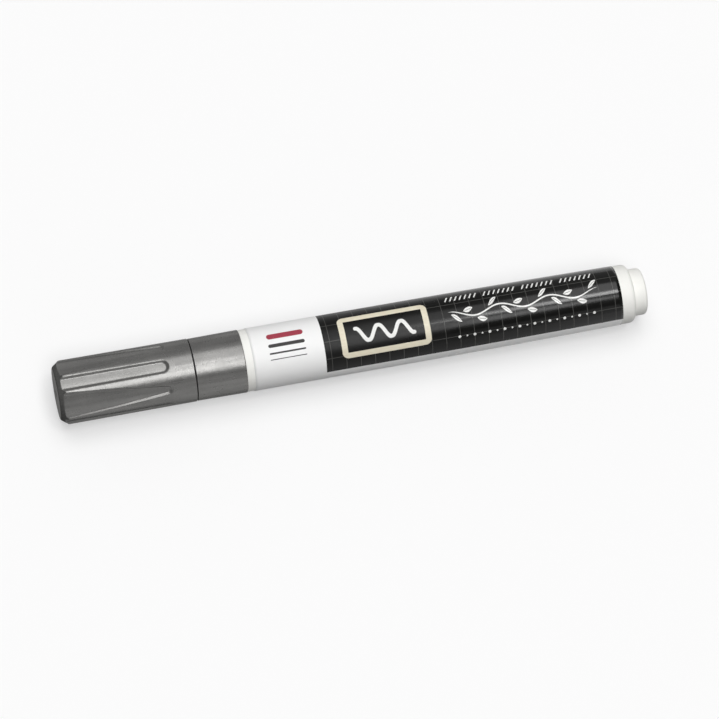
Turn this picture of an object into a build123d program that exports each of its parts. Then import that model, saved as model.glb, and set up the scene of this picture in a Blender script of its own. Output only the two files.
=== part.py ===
from build123d import *
import os
from math import cos, pi, sin, sqrt

# Valve-fed liquid chalk marker, lying along X with its cap at -X. Sizes are in millimetres.
# A station is a distance along the axis from the cap's closed end. Turned outlines are
# (station, radius) points, spun about the axis before the whole marker is laid on its side.

# Fits between pieces, as radial gaps
slide_fit = 0.05
press_fit = 0.02
glue_film = 0.02

# Cap
cap_length = 31.8
cap_mouth_lift = 0.105
cap_draft = 0.085
cap_end_wall = 1.6
cap_end_round = 1.3
cap_rim_round = 0.2

# Flutes in the cap: narrow U-shaped ones, the first facing up, and flared flat ones in turn
flute_pairs = 4
flute_wall_slope = 55.0
narrow_tip = 25.5
narrow_tip_half = 1.1
narrow_end_half = 1.2
narrow_tip_depth = 0.5
narrow_end_depth = 0.72
flared_tip = 25.6
flared_tip_half = 0.75
flared_end_half = 3.65
flared_tip_depth = 0.45
flared_end_depth = 0.94
flute_overrun = 3.0
flute_cut_height = 2.0

# Seal cup in the cap
liner_lip_wall = 0.8
liner_wall = 0.65
liner_end_wall = 1.0
liner_flange_t = 0.8
liner_lip_length = 3.0
liner_inner_round = 0.6
liner_to_neck = 0.6

# Nib
nib_r = 2.0
nib_length = 20.0
nib_headroom = 5.4
nib_reach = 5.0
nib_bullet_length = 2.6
nib_point_r = 0.6
nib_point_round = 0.45
nib_tail_out = 1.5
nib_tail_chamfer = 0.4
nib_stroke = 1.8

# Front section: nose, seal cylinder, neck and collar
parting_gap = 0.2
collar_length = 11.7
collar_front_lift = 0.02
collar_rear_lift = 0.115
collar_edge_round = 0.25
collar_web = 1.5
nose_wall = 0.8
nose_tip_round = 0.4
nose_cone_length = 4.5
nose_cone_round = 1.5
seal_step = 1.25
seal_length = 6.7
post_bead_height = 0.2
post_bead_width = 1.2
post_bead_count = 3
neck_edge_round = 0.4
feed_wall = 2.05
ink_channels = 6
ink_channel_width = 0.6
ink_channel_depth = 0.5
ink_channel_lead = 1.8

# Barrel, its plug and its label
bare_ring = 1.8
label_length = 88.0
bare_tail = 3.4
stub_length = 3.1
stub_step = 1.32
stub_round = 0.8
barrel_r = 7.26
barrel_tail_drop = 0.39
barrel_straight = 34.5
barrel_taper_cones = 3
barrel_wall = 1.91
barrel_front_round = 0.15
shoulder_round = 1.2
spigot_wall_share = 0.64
spigot_round = 0.3
plug_depth = 9.9
plug_wall = 1.25
plug_end_wall = 1.6
plug_inner_round = 0.8
label_film = 0.08

# Valve
flange_t = 1.0
flange_gap = 0.04
seat_t = 1.5
seat_r = 1.9
gasket_t = 1.1
gasket_rim = 0.3
gasket_round = 0.3
head_t = 1.2
head_gap = 0.7
pin_r = 1.5
guide_r = 1.2
guide_round = 0.3
housing_relief = 0.43
housing_wall = 0.9
housing_plug_length = 5.0
window_count = 4
window_width = 2.4
window_length = 6.0
retainer_t = 1.8
retainer_flange_t = 0.8
ink_holes = 6
ink_hole_r = 0.5

# Spring
spring_length = 12.9
spring_turns = 7
spring_wire_r = 0.225
spring_mean_r = 2.3
spring_seat_gap = 0.03

# Mixing ball
ball_r = 3.0
ball_gap = 0.05
ball_to_plug = 0.1

# Lying on a table: how far the first flute is turned from straight up
lying_turn = 10.0

# Stations, from the cap's closed end to the tail
liner_inner_end = cap_end_wall + liner_end_wall
nib_tip = liner_inner_end + nib_headroom
nib_rear = nib_tip + nib_length
nose_front = nib_tip + nib_reach
cone_end = nose_front + nose_cone_length
neck_front = cone_end + seal_length
liner_mouth = neck_front - liner_to_neck
cap_step = liner_mouth - liner_flange_t
nib_bore_end = nib_rear - nib_tail_out
collar_front = cap_length + parting_gap
collar_end = collar_front + collar_length
label_start = collar_end + bare_ring
label_end = label_start + label_length
taper_start = label_start + barrel_straight
barrel_end = label_end + bare_tail
tail_end = barrel_end + stub_length
plug_front = barrel_end - plug_depth
flange_front = collar_front + collar_web
spigot_front = flange_front + flange_t
seat_rear = flange_front + seat_t
head_front = seat_rear + gasket_t
head_rear = head_front + head_t
retainer_front = head_rear + spring_length
housing_rear = retainer_front + retainer_t
retainer_rear = housing_rear + retainer_flange_t
housing_plug_end = spigot_front + housing_plug_length
stem_rear = retainer_rear - nib_stroke
ball_station = plug_front - ball_to_plug - ball_r

# Radii that follow from the pieces beside them
cap_mouth_r = barrel_r + cap_mouth_lift
cap_end_r = cap_mouth_r + cap_draft
barrel_bore_r = barrel_r - barrel_wall
barrel_tail_r = barrel_r - barrel_tail_drop
post_r = barrel_tail_r - stub_step
neck_r = post_r - post_bead_height
seal_r = neck_r - seal_step
feed_r = neck_r - feed_wall
nib_bore_r = nib_r + slide_fit
nose_tip_r = nib_bore_r + nose_wall
liner_lip_r = seal_r + slide_fit
liner_r = liner_lip_r + liner_lip_wall
liner_cavity_r = liner_r - liner_wall
liner_bore_r = liner_r + press_fit
cap_bore_r = post_r + slide_fit
liner_flange_r = cap_bore_r - press_fit
collar_front_r = barrel_r + collar_front_lift
collar_rear_r = barrel_r + collar_rear_lift
spigot_r = barrel_bore_r + spigot_wall_share * (barrel_r - barrel_bore_r)
skirt_bore_r = spigot_r + press_fit
plug_r = barrel_bore_r - press_fit
housing_r = plug_r - housing_relief
housing_bore_r = housing_r - housing_wall
head_r = housing_bore_r - head_gap
gasket_r = head_r - gasket_rim
guide_hole_r = guide_r + slide_fit


def spun(profile, rounds=()):
    """Solid of revolution of a profile about the marker's axis, after rounding the named corners."""
    for corner, radius in rounds:
        profile = fillet(profile.vertices().sort_by_distance(corner)[0], radius)
    return revolve(profile, Axis.X)


def turned(outline, rounds=()):
    """Solid of revolution of a closed outline of (station, radius) points."""
    return spun(make_face(Polyline(*outline, close=True)), rounds)


def around(count, piece, first_angle=0.0):
    """Copies of a piece spaced evenly about the axis."""
    return [Rot(X=first_angle + 360 / count * i) * piece for i in range(count)]


def bead(station, root_r, crown_r, width):
    """Ring with a round crown, sunk into the cylinder that carries it."""
    front = (station - width / 2, root_r)
    rear = (station + width / 2, root_r)
    sunk_r = root_r - (crown_r - root_r)
    crown = ThreePointArc(front, (station, crown_r), rear)
    base = Polyline(rear, (rear[0], sunk_r), (front[0], sunk_r), front)
    return spun(make_face([crown, base]))


def cap_radius(station):
    """Radius of the cap's plain cone."""
    return cap_end_r + (cap_mouth_r - cap_end_r) * station / cap_length


def flute(tip, tip_half, end_half, tip_depth, end_depth):
    """Cutter for one flute, facing +Z: a flat floor that runs out through the closed end, with a
    round tip near the mouth and walls that open outwards."""
    floor_end = Vector(0, 0, cap_radius(0) - end_depth)
    floor_tip = Vector(tip, 0, cap_radius(tip) - tip_depth)
    run = floor_tip - floor_end
    along = run.normalized()
    floor = Plane(origin=floor_end, x_dir=along, z_dir=Vector(-along.Z, 0, along.X))
    tip_centre = run.length - tip_half
    open_half = end_half + flute_overrun * (end_half - tip_half) / tip_centre
    open_side = Line((-flute_overrun, -open_half), (-flute_overrun, open_half))
    round_tip = Pos(tip_centre, 0) * Circle(tip_half)
    outline = make_hull([open_side.edge(), round_tip.edge()])
    return extrude(floor * outline, flute_cut_height, taper=-flute_wall_slope)


def make_cap_shell():
    outline = [
        (0, 0),
        (0, cap_end_r),
        (cap_length, cap_mouth_r),
        (cap_length, cap_bore_r),
        (cap_step, cap_bore_r),
        (cap_step, liner_bore_r),
        (cap_end_wall, liner_bore_r),
        (cap_end_wall, 0),
    ]
    rounds = [
        ((0, cap_end_r), cap_end_round),
        ((cap_length, cap_mouth_r), cap_rim_round),
        ((cap_length, cap_bore_r), cap_rim_round),
    ]
    narrow = flute(narrow_tip, narrow_tip_half, narrow_end_half, narrow_tip_depth, narrow_end_depth)
    flared = flute(flared_tip, flared_tip_half, flared_end_half, flared_tip_depth, flared_end_depth)
    half_pitch = 180 / flute_pairs
    cutters = around(flute_pairs, narrow) + around(flute_pairs, flared, half_pitch)
    return turned(outline, rounds) - cutters


def make_cap_liner():
    outline = [
        (cap_end_wall, 0),
        (cap_end_wall, liner_r),
        (cap_step, liner_r),
        (cap_step, liner_flange_r),
        (liner_mouth, liner_flange_r),
        (liner_mouth, liner_lip_r),
        (liner_mouth - liner_lip_length, liner_lip_r),
        (liner_mouth - liner_lip_length - liner_wall, liner_cavity_r),
        (liner_inner_end, liner_cavity_r),
        (liner_inner_end, 0),
    ]
    return turned(outline, [((liner_inner_end, liner_cavity_r), liner_inner_round)])


def make_front_section():
    outline = [
        (nose_front, nib_bore_r),
        (nose_front, nose_tip_r),
        (cone_end, seal_r),
        (neck_front, seal_r),
        (neck_front, neck_r),
        (collar_front, neck_r),
        (collar_front, collar_front_r),
        (collar_end, collar_rear_r),
        (collar_end, skirt_bore_r),
        (flange_front, skirt_bore_r),
        (flange_front, feed_r),
        (nib_bore_end, feed_r),
        (nib_bore_end, nib_bore_r),
    ]
    rounds = [
        ((nose_front, nose_tip_r), nose_tip_round),
        ((cone_end, seal_r), nose_cone_round),
        ((neck_front, neck_r), neck_edge_round),
        ((collar_front, collar_front_r), collar_edge_round),
    ]
    section = turned(outline, rounds)
    bead_pitch = (collar_front - neck_front) / (post_bead_count + 1)
    for i in range(post_bead_count):
        section += bead(neck_front + bead_pitch * (i + 1), neck_r, post_r, post_bead_width)
    channel_start = nose_front + ink_channel_lead
    channel_length = nib_bore_end - channel_start
    channel = Box(channel_length, ink_channel_width, 2 * ink_channel_depth)
    channel = Pos(channel_start + channel_length / 2, 0, nib_bore_r) * channel
    return section - around(ink_channels, channel)


def make_nib():
    shoulder = (nib_tip + nib_bullet_length, nib_r)
    point = (nib_tip, nib_point_r)
    bullet = TangentArc(shoulder, point, tangent=(-1, 0))
    rest = Polyline(
        point,
        (nib_tip, 0),
        (nib_rear, 0),
        (nib_rear, nib_r - nib_tail_chamfer),
        (nib_rear - nib_tail_chamfer, nib_r),
        shoulder,
    )
    return spun(make_face([bullet, rest]), [(point, nib_point_round)])


def make_valve_housing():
    flange_r = skirt_bore_r - flange_gap
    outline = [
        (flange_front, seat_r),
        (flange_front, flange_r),
        (spigot_front, flange_r),
        (spigot_front, plug_r),
        (housing_plug_end, plug_r),
        (housing_plug_end, housing_r),
        (housing_rear, housing_r),
        (housing_rear, housing_bore_r),
        (seat_rear, housing_bore_r),
        (seat_rear, seat_r),
    ]
    window_station = (housing_plug_end + retainer_front) / 2
    window = Pos(window_station, 0, 0) * SlotOverall(window_length, window_width)
    window = extrude(window, housing_r + housing_wall)
    return turned(outline) - around(window_count, window)


def make_valve_stem():
    outline = [
        (nib_rear, 0),
        (nib_rear, pin_r),
        (head_front, pin_r),
        (head_front, head_r),
        (head_rear, head_r),
        (head_rear, guide_r),
        (stem_rear, guide_r),
        (stem_rear, 0),
    ]
    return turned(outline, [((stem_rear, guide_r), guide_round)])


def make_valve_gasket():
    hole_r = pin_r + press_fit
    outline = [
        (seat_rear, hole_r),
        (seat_rear, gasket_r),
        (head_front, gasket_r),
        (head_front, hole_r),
    ]
    rim_round = min(gasket_round, (gasket_r - hole_r) / 2)
    return turned(outline, [((seat_rear, gasket_r), rim_round)])


def make_spring_retainer():
    disc_r = housing_bore_r - press_fit
    outline = [
        (retainer_front, guide_hole_r),
        (retainer_front, disc_r),
        (housing_rear, disc_r),
        (housing_rear, housing_r),
        (retainer_rear, housing_r),
        (retainer_rear, guide_hole_r),
    ]
    spring_outer_r = spring_mean_r + spring_wire_r
    hole_circle_r = (spring_outer_r + disc_r) / 2
    thickness = retainer_rear - retainer_front
    middle = (retainer_rear + retainer_front) / 2
    hole = Pos(middle, 0, hole_circle_r) * Rot(Y=90) * Cylinder(ink_hole_r, 2 * thickness)
    return turned(outline) - around(ink_holes, hole)


def spring_point(turn):
    """Point of the spring's centre line after so many turns from its front end."""
    front = head_rear + spring_seat_gap + spring_wire_r
    rear = retainer_front - spring_seat_gap - spring_wire_r
    angle = 2 * pi * turn
    return Vector(
        front + (rear - front) * turn / spring_turns,
        spring_mean_r * cos(angle),
        spring_mean_r * sin(angle),
    )


def spring_direction(turn):
    """Unit tangent of the spring's centre line."""
    rise = spring_point(spring_turns).X - spring_point(0).X
    angle = 2 * pi * turn
    around_axis = 2 * pi * spring_mean_r * spring_turns
    return Vector(rise, -around_axis * sin(angle), around_axis * cos(angle)).normalized()


def biarc(start, start_direction, end, end_direction):
    """Two tangent arcs from one point and direction to another, of equal tangent length."""
    chord = end - start
    chord_on_sum = chord.dot(start_direction + end_direction)
    spread = 2 * (1 - start_direction.dot(end_direction))
    reach = (sqrt(chord_on_sum**2 + spread * chord.dot(chord)) - chord_on_sum) / spread
    start_knee = start + start_direction * reach
    end_knee = end - end_direction * reach
    middle = (start_knee + end_knee) * 0.5
    return [
        TangentArc(start, middle, tangent=start_direction),
        TangentArc(middle, end, tangent=end_knee - start_knee),
    ]


def spring_self_gap():
    """Least gap between neighbouring turns of the wire, measured on points of the centre line."""
    points_per_turn = 48
    points = [spring_point(i / points_per_turn) for i in range(spring_turns * points_per_turn + 1)]
    half_turn = points_per_turn // 2
    spans = [(b - a).length for i, a in enumerate(points) for b in points[i + half_turn :]]
    return min(spans) - 2 * spring_wire_r


def make_valve_spring():
    quarters = [i / 4 for i in range(4 * spring_turns + 1)]
    arcs = []
    for a, b in zip(quarters, quarters[1:]):
        arcs += biarc(spring_point(a), spring_direction(a), spring_point(b), spring_direction(b))
    section = Plane(origin=spring_point(0), z_dir=spring_direction(0)) * Circle(spring_wire_r)
    return sweep(section, path=Wire(arcs))


def barrel_radius(station):
    """Radius of the barrel's long convex taper, an arc tangent to the straight front stretch."""
    drop = barrel_r - barrel_tail_r
    reach = barrel_end - taper_start
    taper_arc_r = (reach**2 + drop**2) / (2 * drop)
    past = max(station - taper_start, 0)
    return barrel_r - taper_arc_r + sqrt(taper_arc_r**2 - past**2)


def taper_outline(last_station, lift=0.0):
    """Points of the barrel's convex taper up to a station, lifted off it, as a run of gentle cones."""
    step = (last_station - taper_start) / barrel_taper_cones
    stations = [taper_start + step * i for i in range(barrel_taper_cones + 1)]
    return [(station, barrel_radius(station) + lift) for station in stations]


def make_barrel():
    taper = taper_outline(barrel_end)
    front = (collar_end, barrel_r)
    outline = [
        (barrel_end, barrel_bore_r),
        (spigot_front, barrel_bore_r),
        (spigot_front, spigot_r),
        (collar_end, spigot_r),
        front,
    ] + taper
    end_wall = barrel_tail_r - post_r
    rounds = [
        (taper[-1], min(shoulder_round, end_wall)),
        ((spigot_front, spigot_r), spigot_round),
        (front, barrel_front_round),
    ]
    return turned(outline, rounds)


def make_label():
    inner_lift = glue_film
    outer_lift = glue_film + label_film
    inner = [(label_start, barrel_r + inner_lift)] + taper_outline(label_end, inner_lift)
    outer = [(label_start, barrel_r + outer_lift)] + taper_outline(label_end, outer_lift)
    return turned(inner + outer[::-1])


def make_tail_plug():
    hollow_r = plug_r - plug_wall
    hollow_end = tail_end - plug_end_wall
    outline = [
        (plug_front, hollow_r),
        (plug_front, plug_r),
        (barrel_end, plug_r),
        (barrel_end, post_r),
        (tail_end, post_r),
        (tail_end, 0),
        (hollow_end, 0),
        (hollow_end, hollow_r),
    ]
    rounds = [
        ((tail_end, post_r), stub_round),
        ((hollow_end, hollow_r), plug_inner_round),
    ]
    return turned(outline, rounds)


def make_mixing_ball():
    """Ball at the bottom of the bore, however the marker is turned."""
    down = Rot(X=-lying_turn) * Pos(0, 0, ball_gap + ball_r - barrel_bore_r)
    return Pos(ball_station, 0, 0) * down * Sphere(ball_r)


pieces = {
    "cap_shell": make_cap_shell(),
    "cap_liner": make_cap_liner(),
    "front_section": make_front_section(),
    "nib": make_nib(),
    "valve_housing": make_valve_housing(),
    "valve_stem": make_valve_stem(),
    "valve_gasket": make_valve_gasket(),
    "valve_spring": make_valve_spring(),
    "spring_retainer": make_spring_retainer(),
    "barrel": make_barrel(),
    "label": make_label(),
    "tail_plug": make_tail_plug(),
    "mixing_ball": make_mixing_ball(),
}

# The marker lies on the plane z = 0, with the origin under the middle of its length.
rolled = {name: Rot(X=lying_turn) * piece for name, piece in pieces.items()}
axis_height = -min(piece.bounding_box().min.Z for piece in rolled.values())
laid_down = Pos(-tail_end / 2, 0, axis_height)

os.makedirs("parts", exist_ok=True)
for name, piece in rolled.items():
    export_step(laid_down * piece, f"parts/{name}.step")

print(f"length {tail_end:.2f} mm, axis {axis_height:.4f} mm above the surface")
print(f"spring's least gap to itself {spring_self_gap():.2f} mm")
print(f"nib stroke {nib_stroke} mm, ball travel {ball_station - ball_r - retainer_rear - nib_stroke:.2f} mm")
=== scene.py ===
from math import atan, asin, cos, hypot, pi, radians, sin, sqrt, tan

import bpy
import numpy as np
from mathutils import Matrix, Vector


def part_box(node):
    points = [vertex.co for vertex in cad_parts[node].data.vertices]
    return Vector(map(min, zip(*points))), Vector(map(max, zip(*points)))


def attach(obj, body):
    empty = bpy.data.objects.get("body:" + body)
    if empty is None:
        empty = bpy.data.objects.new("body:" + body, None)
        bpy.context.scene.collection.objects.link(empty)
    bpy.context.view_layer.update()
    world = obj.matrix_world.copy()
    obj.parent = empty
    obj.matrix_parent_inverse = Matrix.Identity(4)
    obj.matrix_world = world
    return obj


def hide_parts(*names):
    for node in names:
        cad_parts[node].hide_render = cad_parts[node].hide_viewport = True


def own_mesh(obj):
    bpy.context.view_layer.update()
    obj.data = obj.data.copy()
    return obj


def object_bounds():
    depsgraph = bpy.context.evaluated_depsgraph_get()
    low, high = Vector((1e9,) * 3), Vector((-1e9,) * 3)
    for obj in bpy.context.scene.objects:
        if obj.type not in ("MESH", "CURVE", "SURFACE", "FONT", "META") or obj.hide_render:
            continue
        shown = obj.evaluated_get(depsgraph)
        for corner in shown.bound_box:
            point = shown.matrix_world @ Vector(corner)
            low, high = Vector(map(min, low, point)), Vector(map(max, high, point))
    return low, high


# Liquid chalk marker lying along X with its cap at -X. Sizes are in millimetres until a mesh is
# made. A station is a distance along the axis from the cap's closed end, and an angle about the
# axis counts from straight up towards -Y.

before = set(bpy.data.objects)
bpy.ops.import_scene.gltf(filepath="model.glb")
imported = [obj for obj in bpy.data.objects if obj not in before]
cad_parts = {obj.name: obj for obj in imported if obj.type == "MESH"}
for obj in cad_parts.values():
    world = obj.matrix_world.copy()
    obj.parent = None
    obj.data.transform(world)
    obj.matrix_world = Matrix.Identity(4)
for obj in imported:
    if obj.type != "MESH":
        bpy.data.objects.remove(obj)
cad_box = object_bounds()

MM = 0.001
length = (cad_box[1].x - cad_box[0].x) / MM
axis_height = sum(corner.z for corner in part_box("tail_plug")) / 2 / MM

# Turns about the axis, in degrees: of the marker as it lies, and of the line that faces the viewer
lying_turn = 10.0
facing_turn = lying_turn + 15.0

# Cap
cap_length = 31.8
cap_end_r = 7.45
cap_mouth_r = 7.365
cap_bore_r = 5.6
cap_end_wall = 1.6
cap_bevel_length = 1.75
cap_bevel_depth = 1.3
cap_bevel_round = 0.7
cap_rim_round = 0.12
cap_step = 22.8
gate_r = 1.0
gate_depth = 0.15
gate_slope = 0.15
gate_rounds = 0.1, 0.12
step_round = 0.05
liner_bore_r = 4.97

# Flutes: length of the floor from the closed end, half widths and depths at its tip and open end, and
# the bulge of its sides
narrow_flute = dict(tip=25.5, tip_half=1.06, end_half=1.1, bulge=0.0, tip_depth=0.5, end_depth=0.62)
flared_flute = dict(tip=25.6, tip_half=0.64, end_half=3.15, bulge=0.15, tip_depth=0.45, end_depth=0.6)
flute_pairs = 4
flute_wall_rise = tan(radians(38.0))
flute_overrun = 3.0
flute_crown_r = 9.5
flute_edge_blend = 0.14
flute_foot_blend = 0.12
flute_reach = 0.8
flute_steps = 12
flute_least_wall = 0.4

# Cap's closed end: where its painted shade lies, and the radius of its flat face
end_face_depth = 0.35
end_zone_edge = 0.06
flat_end_r = 5.4
flat_end_share = 0.35

# Rings of the cap's mesh: radii on the flat end, then stretches of stations, each with its count
end_face_rings = 2.6, 4.3, flat_end_r
bevel_rings = (0.4, 0.75, 4), (0.75, 1.4, 16)
bevel_run_out = 2.4
wall_rings = (2.7, 18.0, 36), (18.0, 23.4, 26), (23.4, 27.0, 40), (27.0, 31.4, 6)
cap_columns = 480

# Seal cup in the cap
liner_r = 4.95
liner_flange_r = 5.58
liner_lip_r = 4.15
liner_cavity_r = 4.3
liner_inner_end = 2.6
liner_lip_start = 20.6
liner_lip_slope = 0.65
liner_mouth = 23.6

# Nib
nib_r = 2.0
nib_tip = 8.0
nib_rear = 28.0
nib_bullet_length = 2.6
nib_point_r = 0.6
nib_point_round = 0.35
nib_chamfer = 0.4
nib_tail_length = 1.0

# Front section
nose_front = 13.0
nose_tip_r = 2.85
nib_bore_r = 2.05
cone_end = 17.5
seal_r = 4.1
neck_front = 24.2
neck_r = 5.35
bead_crown_r = 5.55
bead_width = 1.2
bead_count = 3
collar_front = 32.0
collar_end = 43.7
collar_front_r = 7.28
collar_rear_r = 7.375
skirt_bore_r = 6.592
flange_front = 33.5
feed_r = 3.3
nib_bore_end = 26.5

# Barrel, plug and label
barrel_r = 7.26
barrel_tail_r = 6.87
barrel_bore_r = 5.35
spigot_front = 34.5
spigot_r = 6.572
label_start = 45.5
taper_start = 80.0
label_end = 133.5
barrel_end = 136.9
shoulder_round = 1.2
shoulder_length = 3.0
post_r = 5.55
plug_r = 5.33
plug_hollow_r = 4.08
plug_front = 127.0
plug_hollow_end = 138.4
stub_round = 0.8
label_inner_lift = 0.02
label_outer_lift = 0.1
label_seam_turn = 222.0
label_overlap = 2.6
label_overlap_lift = 0.045

# Valve spring
spring_front = 37.3
spring_rear = 50.2
spring_turns = 7
spring_wire_r = 0.225
spring_mean_r = 2.3
spring_seat_gap = 0.03


def place(station, radius, angle):
    """Points in metres, from stations and radii in millimetres and angles in radians: a point at
    angle a lies at (station - length / 2, -r sin a, axis + r cos a)."""
    station, radius, angle = np.broadcast_arrays(station, radius, angle)
    across = -radius * np.sin(angle)
    height = axis_height + radius * np.cos(angle)
    return np.stack([station - length / 2, across, height], axis=-1) * MM


def rounded(corners, arc_steps=6, guard=0.05):
    """Outline through (station, radius, rounding) corners. A rounding is an arc tangent to both
    sides, and a guard point beyond each of its ends keeps the straight runs flat in smooth shading."""
    places = np.array([corner[:2] for corner in corners], float)
    points = []
    for i, (_, _, rounding) in enumerate(corners):
        corner = places[i]
        if rounding == 0:
            points.append(corner[None])
            continue
        before = places[i - 1] - corner
        after = places[(i + 1) % len(places)] - corner
        before /= np.linalg.norm(before)
        after /= np.linalg.norm(after)
        half = np.arccos(np.clip(before @ after, -1, 1)) / 2
        reach = rounding / np.tan(half)
        middle = (before + after) / np.linalg.norm(before + after)
        centre = corner + middle * rounding / np.sin(half)
        first = corner + before * reach - centre
        last = corner + after * reach - centre
        turn = pi - 2 * half
        share = np.linspace(0, 1, arc_steps + 1)[:, None]
        swept = np.sin((1 - share) * turn) * first + np.sin(share * turn) * last
        guard_before = corner[None] + before * (reach + guard)
        guard_after = corner[None] + after * (reach + guard)
        points += [guard_before, centre + swept / np.sin(turn), guard_after]
    return np.concatenate(points)


def crisp(corners, rounding=0.06, arc_steps=3):
    """Outline whose corners off the axis all have at least a small rounding."""
    softened = [(s, r, max(size, rounding) if r > 0 else 0) for s, r, size in corners]
    return rounded(softened, arc_steps)


def grid_faces(rows, columns, wrap_rows=False, wrap_columns=True):
    """Quads of a grid of vertices, numbered row by row, that faces outwards where the rows run +X
    on an outer wall and the columns run with the angle about the axis."""
    row = np.arange(rows if wrap_rows else rows - 1)[:, None]
    column = np.arange(columns if wrap_columns else columns - 1)[None]
    next_row = (row + 1) % rows
    next_column = (column + 1) % columns
    corners = [
        row * columns + column,
        row * columns + next_column,
        next_row * columns + next_column,
        next_row * columns + column,
    ]
    return np.stack(np.broadcast_arrays(*corners), axis=-1).reshape(-1, 4)


def pole_faces(ring_start, columns, pole, ring_is_after):
    """Triangles that close a ring of vertices to one pole vertex."""
    column = np.arange(columns)
    near = ring_start + column
    far = ring_start + (column + 1) % columns
    if ring_is_after:
        near, far = far, near
    return np.stack([near, far, np.full(columns, pole)], axis=-1)


def make_mesh(name, points, faces, attributes=None):
    """Smooth-shaded mesh object from points in metres and arrays of faces."""
    mesh = bpy.data.meshes.new(name)
    polygons = [face for part in faces for face in part.tolist()]
    mesh.from_pydata(points.reshape(-1, 3).tolist(), [], polygons)
    for key, values in (attributes or {}).items():
        layer = mesh.attributes.new(key, "FLOAT", "POINT")
        layer.data.foreach_set("value", values.ravel().astype(np.float32))
    mesh.polygons.foreach_set("use_smooth", np.ones(len(mesh.polygons), bool))
    mesh.validate()
    piece = bpy.data.objects.new(name, mesh)
    bpy.context.collection.objects.link(piece)
    return piece


def finished(piece, body, node, material):
    """Puts a new piece on its body in place of a CAD node, with its finish."""
    piece.data.materials.append(material)
    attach(piece, body)
    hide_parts(node)
    return piece


def revolved(name, outline, columns, radius_at=None, zone_at=None):
    """Surface of revolution of an outline of (station, radius) points about the axis. An outline that
    starts and ends on the axis is closed by poles, any other by joining its ends. radius_at may change
    each ring's radius with the angle: r = radius_at(station, radius, angle). zone_at gives the points
    the attribute zone in the same way."""
    angle = np.linspace(0, 2 * pi, columns, endpoint=False)
    has_poles = outline[0, 1] == 0 and outline[-1, 1] == 0
    rings = outline[1:-1] if has_poles else outline
    station = np.repeat(rings[:, :1], columns, axis=1)
    radius = np.repeat(rings[:, 1:], columns, axis=1)
    if radius_at is not None:
        radius = radius_at(station, radius, angle[None])
    points = place(station, radius, angle[None]).reshape(-1, 3)
    faces = [grid_faces(len(rings), columns, wrap_rows=not has_poles)]
    pole_stations = outline[[0, -1], 0] if has_poles else np.zeros(0)
    on_axis = np.zeros_like(pole_stations)
    if has_poles:
        count = len(points)
        points = np.concatenate([points, place(pole_stations, on_axis, on_axis)])
        faces.append(pole_faces(0, columns, count, ring_is_after=True))
        faces.append(pole_faces(count - columns, columns, count + 1, ring_is_after=False))
    attributes = {}
    if zone_at is not None:
        at_rings = zone_at(station, radius, angle[None]).ravel()
        attributes["zone"] = np.concatenate([at_rings, zone_at(pole_stations, on_axis, on_axis)])
    return make_mesh(name, points, faces, attributes)


def soft_min(a, b, blend):
    """Smaller of two values, with the corner between them rounded over a blend width."""
    near = np.maximum(blend - np.abs(a - b), 0) / blend
    return np.minimum(a, b) - near * near * blend / 4


def soft_max(a, b, blend):
    """Larger of two values, with the corner between them rounded over a blend width."""
    return -soft_min(-a, -b, blend)


def flute_radius(station, angle, tip, tip_half, end_half, bulge, tip_depth, end_depth):
    """Radius of a flute's surface, and of its floor alone, at angles measured from its middle line. Its
    floor is crowned about the height h of that line, and its wall rises in proportion to the distance d
    outside the floor's outline: r cos a = h - v v / (2 crown) + rise * max(d, 0), with d taken at
    v = r sin a and solved by repeated steps. The outline is two straight sides, which may bulge by
    4 b t (1 - t), and a round tip."""
    end_height = cap_end_r - end_depth
    tip_height = cap_radius(tip) - tip_depth
    height = end_height + (tip_height - end_height) * station / tip
    centre = tip - tip_half
    open_half = end_half + flute_overrun * (end_half - tip_half) / centre
    spread = atan(open_half / (centre + flute_overrun))
    spread -= asin(tip_half / hypot(centre + flute_overrun, open_half))
    share = np.clip(station / centre, 0, 1)
    swell = 4 * bulge * share * (1 - share)
    radius = np.full(np.broadcast(station, angle).shape, cap_end_r)
    for _ in range(flute_steps):
        side = np.abs(radius * np.sin(angle))
        past_tip = (station - centre) * cos(spread) - side * sin(spread) > 0
        round_tip = np.hypot(station - centre, side) - tip_half
        straight = (station - centre) * sin(spread) + side * cos(spread) - tip_half - swell
        outside = soft_max(np.where(past_tip, round_tip, straight), 0.0, flute_foot_blend)
        floor = height - side**2 / (2 * flute_crown_r)
        radius = (floor + flute_wall_rise * outside) / np.cos(angle)
    return radius, floor / np.cos(angle)


def cap_radius(station):
    """Radius of the cap's plain cone."""
    return cap_end_r + (cap_mouth_r - cap_end_r) * station / cap_length


def flute_cuts(station, angle):
    """Radii of the narrow and then the flared flutes' surfaces and floors, repeated about the axis."""
    half_pitch = pi / flute_pairs
    for shape, first in ((narrow_flute, 0.0), (flared_flute, half_pitch)):
        from_middle = angle - radians(lying_turn) - first
        from_middle = (from_middle + half_pitch) % (2 * half_pitch) - half_pitch
        yield flute_radius(station, np.clip(from_middle, -flute_reach, flute_reach), **shape)


def fluted(station, radius, angle):
    """Radius of the cap's outside: the plain outline, cut by the narrow and flared flutes in turn,
    which run out through the bevel of the closed end."""
    is_outside = radius > cap_bore_r + flute_least_wall
    for cut, _ in flute_cuts(station, angle):
        radius = np.where(is_outside, soft_min(radius, cut, flute_edge_blend), radius)
    return radius


def bevel_radius(station):
    """Radius of the bevel at the cap's closed end."""
    return cap_end_r + cap_bevel_depth * (station / cap_bevel_length - 1)


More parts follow.
